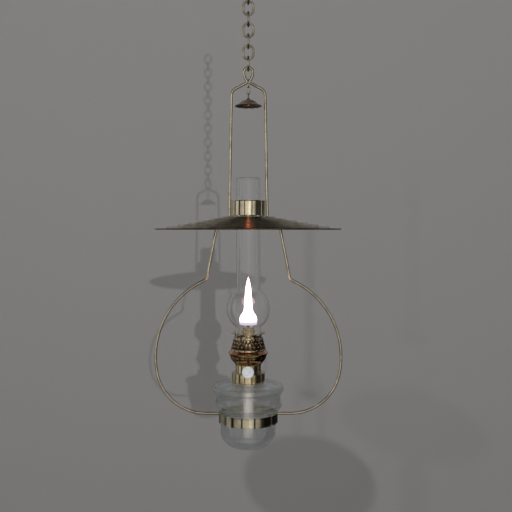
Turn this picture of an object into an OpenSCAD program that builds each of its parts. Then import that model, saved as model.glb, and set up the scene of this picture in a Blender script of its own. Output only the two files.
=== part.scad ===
// Hanging oil lamp: a round-wick burner with a ball chimney, on a glass font that
// drops into the ring of a bent brass wire frame, which hangs on a link chain.
// Millimetres, +Z up. The origin is the inside top of the uppermost link, where a
// ceiling hook carries the lamp. The viewer looks along +Y and the wick knob faces -Y.

/* [Chain] */
// Diameter of the link wire
link_wire = 3.6; // [3.2:0.1:3.9]
// Outside length of a link
link_len = 25.5; // [24:0.5:28]
// Outside width of a link
link_w = 20; // [18.5:0.5:22]

/* [Frame] */
// Diameter of the frame wire
frame_wire = 4.4; // [3.8:0.1:4.8]
// Radius of the eye's top, on the wire's centre line
eye_r = 7.4; // [7:0.1:8.5]
// Radius of the eye's long sides
eye_side_r = 21.7; // [20:0.5:25]
// Slope of the shoulders below level, in degrees
shoulder_slope = 27; // [22:1:32]
// Length of the straight stretch of a shoulder
shoulder_len = 18.4; // [14:0.2:24]
// Radius of the bend from shoulder to leg
shoulder_r = 13; // [9:0.5:15]
// Outward lean of the legs, in degrees
leg_lean = 1; // [0.6:0.1:1.2]
// Length of the straight leg
leg_len = 196.4; // [180:0.2:230]
// Slope of the shelf bend that carries the shade, in degrees
shelf_slope = 12; // [8:1:18]
// Length of the straight stretch of the shelf
shelf_len = 10.6; // [9:0.2:14]
// Outward lean of the arm's straight stretch, in degrees
arm_lean = 11.1; // [8:0.1:13]
// Length of the arm's straight stretch
arm_len = 86.7; // [80:0.1:100]
// Slope at which the arm's big bow begins, in degrees
bow_slope = 25; // [22:1:30]
// Radius of the bow's upper arc
bow_r = 136; // [130:1:145]
// Radius of the bow's lower arc
bow_low_r = 80; // [74:1:84]

/* [Font ring] */
// Outside radius of the ring
ring_r = 47.8; // [47:0.1:50]
// Height of the ring
ring_h = 15.7; // [13:0.1:18]
// Wall of the ring
ring_wall = 1.6; // [1.2:0.1:2]

/* [Smoke bell] */
// Diameter of the small rings' wire
fine_wire = 1.5; // [1.3:0.1:1.7]
// Radius of the bell's rim
bell_r = 22.4; // [19:0.1:22.6]
// Height of the bell
bell_h = 9.6; // [8:0.2:12]
// Sheet thickness of the bell
bell_sheet = 0.8; // [0.6:0.1:1]

/* [Shade] */
// Radius of the shade, over its rolled rim
shade_r = 149.8; // [140:0.2:160]
// Drop from the shade's flat top to its rim
shade_drop = 21; // [19:0.2:24]
// Radius of the flat top
shade_flat_r = 44.5; // [40:0.5:46]
// Sheet thickness of the shade
shade_sheet = 0.8; // [0.6:0.1:0.9]
// Radius of the rolled rim
shade_bead_r = 1.3; // [1:0.1:1.6]
// Height of the chimney collar above the shade
collar_h = 26; // [20:0.5:30]
// Outside radius of the chimney collar
collar_r = 27.2; // [25:0.1:27.2]
// Sheet thickness of the collar
collar_sheet = 1; // [0.8:0.1:1.2]
// Number of scallops in the collar's foot
scallop_n = 12; // [8:2:16]

/* [Chimney] */
// Outside radius of the chimney's tube
chimney_r = 19.2; // [17:0.1:20]
// Length of the whole chimney
chimney_len = 267.8; // [250:0.2:268]
// Outside radius of the ball
ball_r = 34.9; // [32:0.1:38]
// Height of the ball's centre above the foot
ball_up = 56; // [52:0.5:60]
// Outside radius of the foot
foot_r = 20.4; // [19:0.1:21]
// Glass thickness of the chimney
chimney_wall = 1.6; // [1.2:0.1:2]

/* [Burner] */
// Outside radius of the burner's neck
neck_r = 21; // [20:0.1:22]
// Height of the burner's neck
neck_h = 12; // [10:0.1:13]
// Largest radius of the bowl
bowl_r = 29.4; // [28:0.1:31]
// Height of the bowl, up to the flange's edge
bowl_h = 18.8; // [16:0.2:21]
// Radius of the bowl's flange
flange_r = 32.2; // [31:0.1:34]
// Height of the air basket
basket_h = 20.5; // [19:0.5:24]
// Number of air holes in each row of the basket
air_n = 16; // [10:1:18]
// Radius of an air hole
air_r = 2.1; // [1.6:0.1:2.3]
// Number of prongs
prong_n = 8; // [6:1:10]
// Radius of the prongs' tips
prong_tip_r = 28; // [26:0.1:30]
// Outside radius of the wick tube's mouth
wick_tube_r = 9.2; // [9:0.1:9.8]
// Sheet thickness of the burner's pieces
burner_sheet = 0.8; // [0.7:0.1:0.9]
// Radius of the flame spreader
spreader_r = 11.5; // [9:0.1:12]
// Radius of the wick knob
knob_r = 9.6; // [8:0.1:11]
// Thickness of the wick knob
knob_t = 7; // [5:0.5:9]
// Distance of the knob's front from the lamp's axis
knob_out = 50; // [46:0.5:56]
// Number of teeth on a spur wheel
tooth_n = 14; // [10:1:18]

/* [Font] */
// Radius of the collar on the glass
cap_r = 26.7; // [26.5:0.1:28]
// Height of the collar on the glass
cap_h = 17; // [15:0.5:20]
// Radius of the font's upper bulge
bulge_r = 57.7; // [54:0.1:62]
// Radius of the waist between the bulges
waist_r = 51.4; // [49:0.1:53]
// Radius of the lower bulge
low_bulge_r = 54.1; // [52:0.1:57]
// Radius of the part that hangs below the ring
drop_r = 44.6; // [42:0.1:45]
// Depth of the part below the ring's top edge
drop_h = 56; // [50:0.5:64]
// Glass thickness of the font
font_wall = 2.6; // [2.2:0.1:3]

/* [Hidden] */
$fn = 64;

brass = "#c9a24e";
brass_dark = "#8a6a2e";
bronze = "#4a3222";
clear_glass = [0.82, 0.86, 0.88, 0.35];
chalk = "#ded8c8";

// Gap left where a piece hangs or rests on a piece of another body
rest_gap = 0.3;
// Gap between the small rings of the smoke bell
ring_gap = 0.2;
// Radial clearance of a turning or screwed fit
fit_gap = 0.05;

// Number of links, one node each
link_n = 18;
// From one link to the next
link_pitch = link_len - 2 * link_wire - rest_gap;
// Inside top of the frame's eye, which hangs on the last link
eye_z = -link_n * link_pitch;

wire_r = frame_wire / 2;
// Turn of the eye's sides towards the neck, in degrees
eye_side_turn = 38;
// The two wires are brazed together at the neck by this overlap
neck_braze = 0.05;
neck_x = wire_r - neck_braze;
// Half width of the eye where the neck bend starts
neck_start_x = eye_r - eye_side_r * (1 - cos(eye_side_turn));
neck_bend_r = (neck_start_x - neck_x) / (1 - cos(eye_side_turn));
shelf_bend_r = 3.5;
shelf_end_r = 8;
knee_r = 9;
// Turn of the upper bow past the plumb line, in degrees
bow_over = 12;

// Moves of the wire from the top of the eye: [length, 0] is straight, and
// [radius, turn] is an arc that turns towards the lamp's axis, or away if negative.
yoke_moves = [
  [eye_r, 90],
  [eye_side_r, eye_side_turn],
  [neck_bend_r, -(eye_side_turn + 90 - shoulder_slope)],
  [shoulder_len, 0],
  [shoulder_r, 90 - leg_lean - shoulder_slope],
  [leg_len, 0],
  [shelf_bend_r, -(90 - leg_lean - shelf_slope)],
  [shelf_len, 0],
  [shelf_end_r, 90 - arm_lean - shelf_slope]
];
bow_moves = [
  [arm_len, 0],
  [knee_r, -(90 - arm_lean - bow_slope)],
  [bow_r, 90 + bow_over - bow_slope],
  [bow_low_r, 90 - bow_over]
];

// A place on the wire is [x, z, heading], with the heading in degrees below level
function step_on(p, m) =
  m[1] == 0
    ? [p[0] + m[0] * cos(p[2]), p[1] - m[0] * sin(p[2]), p[2]]
    : let (s = sign(m[1]), a = p[2] + m[1])
      [p[0] + s * m[0] * (sin(a) - sin(p[2])), p[1] - s * m[0] * (cos(p[2]) - cos(a)), a];
function place_at(p, moves, i) = i == 0 ? p : step_on(place_at(p, moves, i - 1), moves[i - 1]);

eye_top = [0, eye_z + wire_r, 0];
leg_top = place_at(eye_top, yoke_moves, 5);
leg_end = place_at(eye_top, yoke_moves, 6);
shelf_start = place_at(eye_top, yoke_moves, 7);
yoke_end = place_at(eye_top, yoke_moves, len(yoke_moves));
bow_end = place_at(yoke_end, bow_moves, len(bow_moves));
arm_moves = concat(bow_moves, [[bow_end[0] - ring_r, 0]]);

// Height of the shade's underside, resting on the shelf bends
shade_under_z = shelf_start[1] + wire_r / cos(shelf_slope) + rest_gap;
shade_top_z = shade_under_z + shade_sheet;
// Where the legs pass through the shade
leg_x = leg_end[0];
leg_hole_r = wire_r + 1.1;

// The ring hangs on the arms' ends
ring_grip = 0.4;
ring_top_z = bow_end[1] + wire_r + ring_grip;
ring_in_r = ring_r - ring_wall;
tenon_r = 1.4;

// The font rests on the ring's top edge
font_bottom_z = ring_top_z - drop_h;
seat_r = ring_r - ring_wall / 2;
low_bulge_z = ring_top_z + 12.4;
low_bulge_arc = 7;
drop_arc = 26;
waist_z = low_bulge_z + 12.6;
bulge_z = waist_z + 12.9;
bulge_arc = 7;
shoulder_z = bulge_z + 9;
glass_neck_r = 23.2;
glass_neck_h = 13;
glass_lift = 0.6;
cap_bottom_z = shoulder_z + glass_lift;
cap_top_z = cap_bottom_z + cap_h;
cap_sleeve_r = glass_neck_r - font_wall - 0.6;
cap_sheet = 1;

// The burner stands on the font's collar
neck_z = cap_top_z + rest_gap;
bowl_z = neck_z + neck_h;
flange_h = 4.6;
basket_z = bowl_z + bowl_h + flange_h;
basket_top_z = basket_z + basket_h;
basket_r = 27.4;
basket_top_r = foot_r + 2;
skirt_r = cap_sleeve_r - cap_sheet - fit_gap;
skirt_h = 12;
gallery_ring_h = 10.5;
seat_z = basket_top_z - gallery_ring_h;
chimney_z = seat_z + rest_gap;
gallery_in_r = foot_r + rest_gap;
wick_tube_top_z = basket_top_z + 18;
wick_tube_low_r = wick_tube_r + 1.8;
wick_tube_sheet = 0.5;
wick_r = wick_tube_r - wick_tube_sheet - 0.5;
wick_t = 2.2;
wick_slit = 3.2;
wick_up = 0.8;
wick_tail_gap = 15;
slit_low_z = neck_z - 8;
draught_r = wick_r - wick_t - 0.4;
draught_low_z = bowl_z + 4;
wheel_t = 1.2;
wheel_out = 2.4;
wheel_r = sqrt(pow(wick_r - wick_t, 2) - pow(wheel_out, 2)) - 0.1;
tooth_h = 0.8;
shaft_r = 1.25;
shaft_z = neck_z + 7.4;
bush_r = 3;
bush_out = 34;
spreader_up = 5.4;

// Small chain of the smoke bell
fine_r = fine_wire / 2;
bell_ring_w = 10;
// Height where the upper ring's wire lies in the bottom of the eye
bell_ring_z = eye_z + wire_r - eye_r
  - sqrt(pow(eye_side_r - wire_r - fine_r - ring_gap, 2) - pow(eye_side_r - eye_r, 2));
bell_ring_drop = 13.6;
bell_link_z = bell_ring_z - bell_ring_drop;
bell_link_drop = 12;
bell_link_w = 7;
bell_eye_z = bell_link_z + fine_wire + ring_gap - bell_link_drop;
bell_top_z = bell_eye_z - 6.8;
knob_cap_r = 3.3;
knob_cap_h = 2.4;
bell_hole_r = 1.2;

// Points of an arc about a centre, from one angle to another
function arc(x, z, r, a0, a1, n = 8) =
  [for (i = [0:n]) let (a = a0 + (a1 - a0) * i / n) [x + r * cos(a), z + r * sin(a)]];
function flip(p) = [for (i = [len(p) - 1:-1:0]) p[i]];
function unit(v) = v / norm(v);
function left_of(a, b) = let (u = unit(b - a)) [-u[1], u[0]];
// The same outline moved by t to its right-hand side
function moved(p, t) = [
  for (i = [0:len(p) - 1])
    let (
      before = left_of(p[max(i - 1, 0)], p[max(i, 1)]),
      after = left_of(p[min(i, len(p) - 2)], p[min(i + 1, len(p) - 1)]),
      mid = unit(before + after)
    )
    p[i] - mid * t / (mid * after)
];
// A sheet of thickness t that follows an outline
function sheet(p, t) = concat(p, flip(moved(p, t)));
// Height of a circle of radius f that touches both a tube and a ball from outside
function fillet_up(ball, tube, f) = sqrt(pow(ball + f, 2) - pow(tube + f, 2));

module turned(points) {
  rotate_extrude() polygon(points);
}

// One stretch of wire, from the origin along +X, in the XZ plane, with its ends
// cut back by from and to
module wire_piece(m, r, from, to) {
  if (m[1] == 0)
    translate([from, 0, 0]) rotate([0, 90, 0]) cylinder(r = r, h = m[0] - from - to);
  else {
    a0 = asin(from / m[0]);
    a1 = asin(to / m[0]);
    turn = abs(m[1]) - a0 - a1;
    translate([0, 0, -sign(m[1]) * m[0]])
      rotate([90, 0, 0]) rotate([0, 0, m[1] > 0 ? 90 - m[1] + a1 : -90 + a0])
        rotate_extrude(angle = turn) translate([m[0], 0]) circle(r = r);
  }
}

// The wire that follows a list of moves from a place. A slight swelling of the bent
// wire joins each stretch to the next.
module wire_run(p, moves, r, swell_start = false) {
  last = len(moves) - 1;
  cut = 0.05;
  for (i = [0:last]) {
    q = place_at(p, moves, i);
    joined = i > 0 || swell_start;
    translate([q[0], 0, q[1]]) {
      rotate([0, q[2], 0]) wire_piece(moves[i], r, joined ? cut : 0, i < last ? cut : 0);
      if (joined) sphere(r = r + 0.02);
    }
  }
}

// A closed oval ring of wire in the XZ plane, with its inside top at the origin
module oval_ring(len, w, wire) {
  rc = (w - wire) / 2;
  straight = len - w;
  translate([0, 0, wire - len / 2]) {
    for (s = [-1, 1])
      translate([s * rc, 0, -straight / 2]) cylinder(d = wire, h = straight);
    for (up = [0, 1])
      mirror([0, 0, up]) translate([0, 0, straight / 2])
        rotate([90, 0, 0]) rotate_extrude(angle = 180) translate([rc, 0]) circle(d = wire);
  }
}

function link_name(i) = str("chain_link_", i < 10 ? "0" : "", i);

// Link number i from the top: odd links face the viewer, even ones are edge on
module chain_link(i) {
  color(brass)
    translate([0, 0, -(i - 1) * link_pitch])
      rotate([0, 0, i % 2 == 0 ? 90 : 0]) oval_ring(link_len, link_w, link_wire);
}

module frame_yoke() {
  color(brass)
    for (side = [0, 1]) mirror([side, 0, 0]) wire_run(eye_top, yoke_moves, wire_r, true);
}

module frame_arm() {
  wire_run(yoke_end, arm_moves, wire_r);
  translate([ring_in_r + 0.2, 0, bow_end[1]]) rotate([0, 90, 0]) cylinder(r = tenon_r, h = ring_wall + 1);
}

module frame_arm_left() {
  color(brass) mirror([1, 0, 0]) frame_arm();
}

module frame_arm_right() {
  color(brass) frame_arm();
}

module font_ring() {
  color(brass) difference() {
    translate([0, 0, ring_top_z - ring_h])
      turned([
        [ring_in_r, 0], [ring_r - 0.4, 0], [ring_r, 0.4],
        [ring_r, ring_h - 0.4], [ring_r - 0.4, ring_h], [ring_in_r, ring_h]
      ]);
    translate([-ring_r - 1, 0, bow_end[1]]) rotate([0, 90, 0]) cylinder(r = tenon_r, h = 2 * ring_r + 2);
  }
}

module bell_ring_upper() {
  color(brass_dark)
    translate([0, 0, bell_ring_z - fine_r]) rotate([0, 0, 90])
      oval_ring(bell_ring_drop + fine_wire, bell_ring_w, fine_wire);
}

module bell_ring_lower() {
  color(brass_dark)
    translate([0, 0, bell_link_z + fine_r + ring_gap])
      oval_ring(bell_link_drop + fine_wire, bell_link_w, fine_wire);
}

// Knob on top of the bell, with the wire eye that it hangs by
module bell_knob() {
  eye_in_r = 2;
  color(brass_dark) {
    translate([0, 0, bell_eye_z + fine_r + ring_gap - eye_in_r])
      rotate([0, 90, 0]) rotate_extrude() translate([eye_in_r + fine_r, 0]) circle(r = fine_r);
    translate([0, 0, bell_top_z - 1]) cylinder(r = fine_r, h = 3.6);
    translate([0, 0, bell_top_z - knob_cap_h])
      turned(concat([[0, 0]], arc(knob_cap_r - 1, 1.2, 1, -90, 90), [[0, knob_cap_h]]));
    translate([0, 0, bell_top_z - knob_cap_h - bell_sheet - 1])
      cylinder(r = bell_hole_r - 0.1, h = bell_sheet + 1.2);
  }
}

// Outline of the bell's upper face, from the middle out: dome, shoulder, turned-out brim
function bell_line() = let (z = bell_top_z - knob_cap_h, h = bell_h, r = bell_r) [
  [bell_hole_r, z], [r * 0.30, z - h * 0.04], [r * 0.44, z - h * 0.17], [r * 0.54, z - h * 0.38],
  [r * 0.66, z - h * 0.56], [r * 0.82, z - h * 0.74], [r - 1, z - h * 0.93], [r, z - h]
];

module smoke_bell() {
  color(bronze) turned(sheet(bell_line(), bell_sheet));
}

// Outline of the shade's upper face: a flat top, then nearly level terraces with steep steps
terrace_n = 6;
terrace_step = 2.7;
terrace_run = 0.8;
shade_bead_z = shade_top_z - shade_drop + shade_bead_r;
function terrace_r(i) = shade_flat_r + (shade_r - 2 * shade_bead_r - shade_flat_r) * i / terrace_n;
function terrace_z(i) = shade_top_z - (shade_drop - 2 * shade_bead_r) * i / terrace_n;
function shade_line() = concat(
  [[collar_r + 0.05, shade_top_z], [shade_flat_r - terrace_run, shade_top_z]],
  [
    for (i = [0:terrace_n - 1])
      each [
        [terrace_r(i) + terrace_run, terrace_z(i) - terrace_step],
        [terrace_r(i + 1) - terrace_run, terrace_z(i + 1)]
      ]
  ],
  [
    [terrace_r(terrace_n), terrace_z(terrace_n) - 0.5],
    [shade_r - shade_bead_r - 0.3, shade_bead_z + 0.3]
  ]
);

module shade() {
  rim_r = shade_r - shade_bead_r;
  color(brass) difference() {
    union() {
      turned(sheet(shade_line(), shade_sheet));
      translate([0, 0, shade_bead_z])
        rotate_extrude() translate([rim_r, 0]) circle(r = shade_bead_r);
    }
    for (side = [-1, 1])
      translate([side * leg_x, 0, shade_top_z - 3]) cylinder(r = leg_hole_r, h = 6);
  }
}

// Band round the chimney's top, with a scalloped foot on the shade and a crimp below it
module chimney_collar() {
  foot_t = 1.2;
  foot_out = collar_r + 5;
  in_r = collar_r - collar_sheet;
  crimp_r = collar_r + 0.6;
  low = -shade_sheet - 0.9;
  color(brass) difference() {
    translate([0, 0, shade_top_z])
      turned([
        [in_r, low], [crimp_r, low], [crimp_r, low + 0.8], [collar_r, -shade_sheet],
        [collar_r, 0], [foot_out, 0], [foot_out, foot_t * 0.6], [collar_r + 1, foot_t],
        [collar_r, foot_t + 1.2], [collar_r, collar_h - 1.4], [collar_r + 0.3, collar_h - 0.8],
        [collar_r, collar_h], [in_r, collar_h]
      ]);
    for (i = [0:scallop_n - 1])
      rotate([0, 0, i * 360 / scallop_n])
        translate([leg_x, 0, shade_top_z - 1]) cylinder(r = leg_hole_r, h = foot_t + 2);
  }
}

// Outline of the chimney's outer face, from the top down
ball_fillet = 6;
foot_fillet = 5;
function chimney_line() = let (
  top = chimney_z + chimney_len,
  c = chimney_z + ball_up,
  up = fillet_up(ball_r, chimney_r, ball_fillet),
  down = fillet_up(ball_r, foot_r, foot_fillet),
  up_a = atan2(up, chimney_r + ball_fillet),
  down_a = atan2(down, foot_r + foot_fillet)
) concat(
  [[chimney_r, top]],
  arc(chimney_r + ball_fillet, c + up, ball_fillet, 180, 180 + up_a, 5),
  arc(0, c, ball_r, up_a - 4, -down_a + 4, 20),
  arc(foot_r + foot_fillet, c - down, foot_fillet, 180 - down_a, 180, 5),
  [[foot_r, chimney_z]]
);

module chimney() {
  color(clear_glass) turned(sheet(chimney_line(), chimney_wall));
}

// Crown of sprung prongs over a ring with an inner seat for the chimney's foot
module chimney_gallery() {
  t = burner_sheet;
  out_r = gallery_in_r + t;
  curl = 80;
  open_share = 0.6;
  gap_turn = 360 / prong_n * open_share;
  reach = (prong_tip_r - out_r) / (1 + cos(curl));
  rim = gallery_ring_h + 1.5;
  flare = sheet(flip(concat([[out_r, -t]], arc(out_r + reach, rim, reach, 180, curl, 6))), t);
  color(brass) translate([0, 0, seat_z]) difference() {
    union() {
      turned(flare);
      turned([[foot_r - 3.4, -t], [out_r - t / 2, -t], [out_r - t / 2, 0], [foot_r - 3.4, 0]]);
    }
    for (i = [0:prong_n - 1])
      rotate([0, 0, i * 360 / prong_n - gap_turn / 2])
        rotate_extrude(angle = gap_turn)
          translate([foot_r - 3, gallery_ring_h + 0.5]) square([prong_tip_r, 3 * reach]);
  }
}

// Pierced cone between the bowl's flange and the gallery
module air_basket() {
  lean = atan2(basket_r - basket_top_r, basket_h);
  rows = [0.3, 0.7];
  in_top_r = gallery_in_r + burner_sheet + 0.02;
  color(brass) difference() {
    translate([0, 0, basket_z])
      turned([
        [basket_r - burner_sheet, 0], [basket_r + 0.8, 0], [basket_r + 0.8, 1], [basket_r, 1.4],
        [basket_top_r + 0.4, basket_h - 1.6], [basket_top_r + 1.2, basket_h - 0.8],
        [basket_top_r + 0.4, basket_h], [in_top_r, basket_h], [in_top_r, basket_h - 1.4]
      ]);
    for (k = [0, 1], i = [0:air_n - 1])
      rotate([0, 0, (i + k / 2) * 360 / air_n])
        translate([basket_r + (basket_top_r - basket_r) * rows[k], 0, basket_z + basket_h * rows[k]])
          rotate([0, 90 - lean, 0]) cylinder(r = air_r, h = 8, center = true);
  }
}

// Turned bowl with a sharp sloping flange, open at the top
module burner_bowl() {
  t = burner_sheet;
  h = bowl_h;
  outer = [
    [neck_r, 0], [neck_r + 0.5, 1.5], [bowl_r - 5.8, h * 0.2], [bowl_r - 2.6, h * 0.37],
    [bowl_r - 0.7, h * 0.58], [bowl_r, h * 0.78], [flange_r - 0.4, h - 0.5], [flange_r, h],
    [flange_r - 0.3, h + 0.7], [basket_r + 0.4, h + flange_h]
  ];
  inner = [
    [basket_r - t, h + flange_h], [basket_r - t, h + flange_h - 1.4], [bowl_r - t, h * 0.9],
    [bowl_r - t, h * 0.78], [bowl_r - 0.8 - t, h * 0.6], [bowl_r - 2.8 - t, h * 0.4],
    [bowl_r - 6.2 - t, h * 0.24], [neck_r - t, 1.8], [wick_tube_low_r + fit_gap, 1.8],
    [wick_tube_low_r + fit_gap, 0]
  ];
  color(brass) translate([0, 0, bowl_z]) turned(concat(outer, inner));
}

// Neck that shows between bowl and collar, and the screwed skirt that goes into the font
module burner_base() {
  t = 1;
  color(brass) difference() {
    translate([0, 0, neck_z])
      turned([
        [skirt_r - t, -skirt_h], [skirt_r, -skirt_h], [skirt_r, 0], [neck_r, 0], [neck_r, 1.4],
        [neck_r - 0.5, 1.9], [neck_r - 0.5, neck_h - 1.6], [neck_r, neck_h - 1.1], [neck_r, neck_h],
        [wick_tube_low_r + fit_gap, neck_h], [wick_tube_low_r + fit_gap, neck_h - 1.2],
        [neck_r - 0.5 - t, neck_h - 1.2], [neck_r - 0.5 - t, t], [skirt_r - t, t]
      ]);
    translate([0, -neck_r + 3, shaft_z]) rotate([90, 0, 0]) cylinder(r = bush_r - 0.8, h = 6);
  }
}

// Outer tube: slim mouth, a flare, then a straight stem down into the font
module wick_tube() {
  t = wick_tube_sheet;
  low_z = neck_z - skirt_h - 2;
  flare_z = basket_top_z - 1;
  outline = [
    [wick_tube_r, wick_tube_top_z], [wick_tube_r, wick_tube_top_z - 7],
    [wick_tube_low_r - 0.3, flare_z + 1.5], [wick_tube_low_r, flare_z], [wick_tube_low_r, low_z]
  ];
  color(brass) difference() {
    turned(sheet(outline, t));
    translate([0, 0, shaft_z]) rotate([90, 0, 0]) cylinder(r = shaft_r + 0.4, h = wick_tube_low_r + 2);
  }
}

// Inner tube that feeds air to the middle of the flame, held by a rib in the wick's slit
module draught_tube() {
  t = 0.5;
  color(brass_dark) {
    difference() {
      translate([0, 0, draught_low_z]) cylinder(r = draught_r, h = wick_tube_top_z - draught_low_z);
      translate([0, 0, draught_low_z - 1])
        cylinder(r = draught_r - t, h = wick_tube_top_z - draught_low_z + 2);
    }
    translate([-0.6, -wick_tube_low_r + wick_tube_sheet, draught_low_z + 1])
      cube([1.2, wick_tube_low_r - wick_tube_sheet - draught_r + 0.2, 10]);
  }
}

// Disc over the wick tube, on a stem with a plug that sits in the draught tube
module flame_spreader() {
  z = wick_tube_top_z + spreader_up;
  plug_z = wick_tube_top_z - 26;
  color(brass_dark) {
    translate([0, 0, z])
      turned([
        [0, 0], [spreader_r - 2, 0], [spreader_r, -0.5], [spreader_r, 0.3], [spreader_r - 2, 1],
        [2, 1.4], [0, 1.4]
      ]);
    translate([0, 0, plug_z]) cylinder(r = 1.2, h = z - plug_z + 0.2);
    difference() {
      translate([0, 0, plug_z]) cylinder(r = draught_r - 0.5, h = 3);
      for (i = [0:2])
        rotate([0, 0, i * 120]) translate([3, 0, plug_z - 1]) cylinder(r = 1.1, h = 5);
    }
  }
}

module shaft_bush() {
  color(brass) difference() {
    union() {
      translate([0, -neck_r + 1.6, shaft_z]) rotate([90, 0, 0]) cylinder(r = bush_r - 0.8, h = 4);
      translate([0, -neck_r, shaft_z]) rotate([90, 0, 0]) cylinder(r = bush_r, h = bush_out - neck_r);
      translate([0, -bush_out + 3, shaft_z]) rotate([90, 0, 0]) cylinder(r = bush_r + 0.8, h = 3);
    }
    translate([0, -neck_r + 3, shaft_z]) rotate([90, 0, 0]) cylinder(r = shaft_r + fit_gap, h = bush_out);
  }
}

module wick_shaft() {
  shaft_in = 3;
  shaft_out = knob_out - knob_t / 2;
  color(brass)
    translate([0, shaft_in, shaft_z]) rotate([90, 0, 0]) cylinder(r = shaft_r, h = shaft_in + shaft_out);
}

// Two toothed wheels on the shaft, which climb the inside of the wick
module spur_wheels() {
  color(brass_dark)
    for (y = [wheel_t - wheel_out, wheel_out - 0.6])
      translate([0, y, shaft_z]) rotate([90, 0, 0]) difference() {
        cylinder(r = wheel_r, h = wheel_t);
        translate([0, 0, -1]) cylinder(r = shaft_r, h = wheel_t + 2);
        for (i = [0:tooth_n - 1])
          rotate([0, 0, i * 360 / tooth_n]) translate([wheel_r + 0.2, 0, -1])
            cylinder(r = tooth_h, h = wheel_t + 2, $fn = 16);
      }
}

// Button with a rounded edge and a dished front
module wick_knob() {
  e = 2.2;
  color("white")
    translate([0, -knob_out + knob_t, shaft_z]) rotate([90, 0, 0]) difference() {
      turned(concat(
        [[0, 0]], arc(knob_r - e, e, e, -90, 0, 5), arc(knob_r - e, knob_t - e, e, 0, 90, 5),
        [[knob_r - e - 1.4, knob_t - 0.5], [0, knob_t - 0.5]]
      ));
      translate([0, 0, -1]) cylinder(r = shaft_r, h = knob_t / 2 + 1);
    }
}

// Round wick: a sleeve slit from the top for the shaft, and its closed tail in the oil
module wick() {
  top = wick_tube_top_z + wick_up;
  bottom = font_bottom_z + wick_tail_gap;
  color(chalk) translate([0, 0, bottom]) difference() {
    cylinder(r = wick_r, h = top - bottom);
    translate([0, 0, -1]) cylinder(r = wick_r - wick_t, h = top - bottom + 2);
    translate([-wick_slit / 2, -wick_r - 1, slit_low_z - bottom])
      cube([wick_slit, wick_r + 1, top - slit_low_z + 1]);
  }
}

// Brass cap on the glass: outer wall, top and an inner sleeve for the burner's thread
module font_collar() {
  t = cap_sheet;
  sleeve_h = skirt_h + 1;
  color(brass) translate([0, 0, cap_top_z])
    turned([
      [cap_sleeve_r - t, 0], [cap_r - 1.4, 0], [cap_r, -1], [cap_r, -cap_h + 2.4],
      [cap_r - 0.7, -cap_h + 1.8], [cap_r - 0.7, -cap_h], [cap_r - 0.7 - t, -cap_h],
      [cap_r - 0.7 - t, -cap_h + 2], [cap_r - t - 0.7, -t], [cap_sleeve_r, -t],
      [cap_sleeve_r, -sleeve_h], [cap_sleeve_r - t, -sleeve_h]
    ]);
}

module collar_cement() {
  t = cap_sheet;
  glass_neck_top = glass_neck_h - glass_lift;
  color(chalk) translate([0, 0, cap_bottom_z])
    turned([
      [glass_neck_r, 0.4], [cap_r - 0.7 - t, 0.4], [cap_r - 0.7 - t, cap_h - t], [cap_sleeve_r, cap_h - t],
      [cap_sleeve_r, glass_neck_top], [glass_neck_r, glass_neck_top]
    ]);
}

// Outline of the font's outer face, from the rim of its neck down to the foot
function font_line() = [
  each [[glass_neck_r, shoulder_z + glass_neck_h], [glass_neck_r, shoulder_z + 1]],
  each [[glass_neck_r + 1.6, shoulder_z], [bulge_r - 17, shoulder_z - 2.4]],
  each arc(bulge_r - bulge_arc, bulge_z, bulge_arc, 68, -52, 8),
  each arc(waist_r + 4, waist_z, 4, 140, 220, 5),
  each arc(low_bulge_r - low_bulge_arc, low_bulge_z, low_bulge_arc, 46, -44, 7),
  each [[seat_r + 0.6, ring_top_z + rest_gap + 0.7], [seat_r - 1, ring_top_z + rest_gap]],
  each [[drop_r + 0.4, ring_top_z - 3], [drop_r, ring_top_z - 8]],
  each arc(drop_r - drop_arc, font_bottom_z + drop_arc, drop_arc, 0, -90, 10),
  [0, font_bottom_z]
];

module font() {
  outer = font_line();
  color(clear_glass) turned(sheet(outer, font_wall));
}

for (i = [1:link_n])
  chain_link(i);
frame_yoke();
frame_arm_left();
frame_arm_right();
font_ring();
bell_ring_upper();
bell_ring_lower();
bell_knob();
smoke_bell();
shade();
chimney_collar();
chimney();
chimney_gallery();
air_basket();
burner_bowl();
burner_base();
wick_tube();
draught_tube();
flame_spreader();
shaft_bush();
wick_shaft();
spur_wheels();
wick_knob();
wick();
font_collar();
collar_cement();
font();
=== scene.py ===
"""Dresses the hanging oil lamp: polished brass, blown glass, a lit wick and a plain studio."""

import math

import bmesh
import bpy
from mathutils import Matrix, Vector


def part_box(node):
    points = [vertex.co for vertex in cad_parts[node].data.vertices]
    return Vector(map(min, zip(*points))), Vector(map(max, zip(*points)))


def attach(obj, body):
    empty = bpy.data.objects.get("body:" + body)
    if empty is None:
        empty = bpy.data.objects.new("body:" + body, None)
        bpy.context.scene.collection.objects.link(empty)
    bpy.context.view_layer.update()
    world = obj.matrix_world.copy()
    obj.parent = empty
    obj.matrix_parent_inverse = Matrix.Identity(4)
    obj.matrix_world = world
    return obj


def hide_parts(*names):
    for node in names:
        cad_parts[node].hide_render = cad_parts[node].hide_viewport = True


bl_info = {
    "name": "Hanging oil lamp",
    "version": (1, 0, 0),
    "blender": (4, 5, 0),
    "location": "View3D > Sidebar > Oil Lamp",
    "description": "Builds the pieces of a brass and glass hanging oil lamp",
    "category": "Add Mesh",
}

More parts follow.
